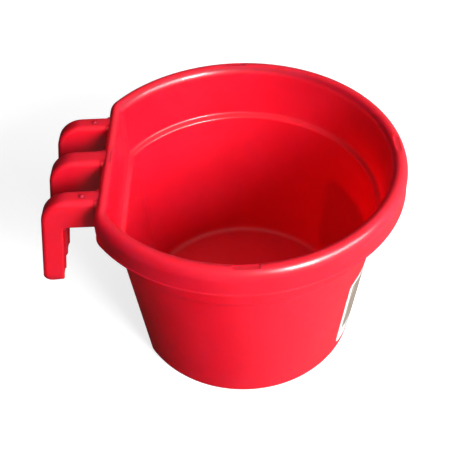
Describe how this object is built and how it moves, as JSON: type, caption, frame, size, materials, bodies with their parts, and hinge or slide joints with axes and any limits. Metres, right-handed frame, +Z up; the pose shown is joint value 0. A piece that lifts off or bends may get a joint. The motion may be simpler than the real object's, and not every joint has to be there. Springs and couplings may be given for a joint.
{
  "type": "hook-over livestock bucket",
  "caption": "D-shaped red plastic feed and water bucket with a turned-down rim and moulded hooks on its flat back that hang it from a rail, board or fence.",
  "frame": {"origin": "on the underside the bucket stands on, below the centre of the rim's round front", "axes": "+Z up, +Y towards the flat back with the hooks, -Y towards the round front with the label, +X to the left of someone who faces the hooks' side from behind"},
  "size_m": [0.3016, 0.3434, 0.215],
  "materials": {
    "bucket_plastic": "smooth glossy bright red moulded polypropylene, slightly translucent",
    "label_film": "thin satin printed film with a white border, a warm grey-brown board pattern and plain red and grey blocks"
  },
  "bodies": {
    "root": {"bucket_bowl": "bucket_plastic", "hook_left": "bucket_plastic", "hook_middle": "bucket_plastic", "hook_right": "bucket_plastic", "label": "label_film"}
  },
  "joints": []
}
